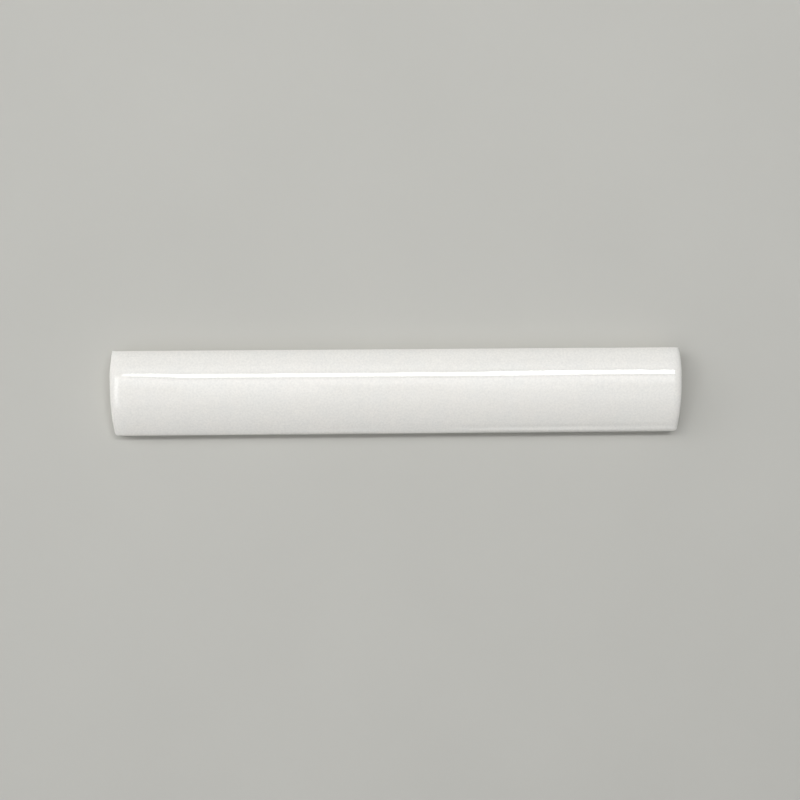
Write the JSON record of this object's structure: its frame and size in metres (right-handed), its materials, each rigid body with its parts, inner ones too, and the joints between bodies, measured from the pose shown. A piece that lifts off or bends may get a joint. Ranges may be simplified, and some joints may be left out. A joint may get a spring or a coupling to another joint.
{
  "type": "bullnose tile",
  "caption": "Long narrow glazed ceramic trim tile with a domed face that falls to a rounded nose along one edge and a flat joint edge along the other; it finishes the edge of a tiled wall.",
  "frame": {"origin": "middle of the bed (back) face, the flat side that the tile lies on", "axes": "+X along the tile, +Y towards the joint edge, -Y towards the rounded nose, +Z out of the glazed face"},
  "size_m": [0.2, 0.03, 0.013],
  "materials": {
    "white_glaze": "gloss"
  },
  "bodies": {
    "root": {"bullnose_tile": "white_glaze"}
  },
  "joints": []
}
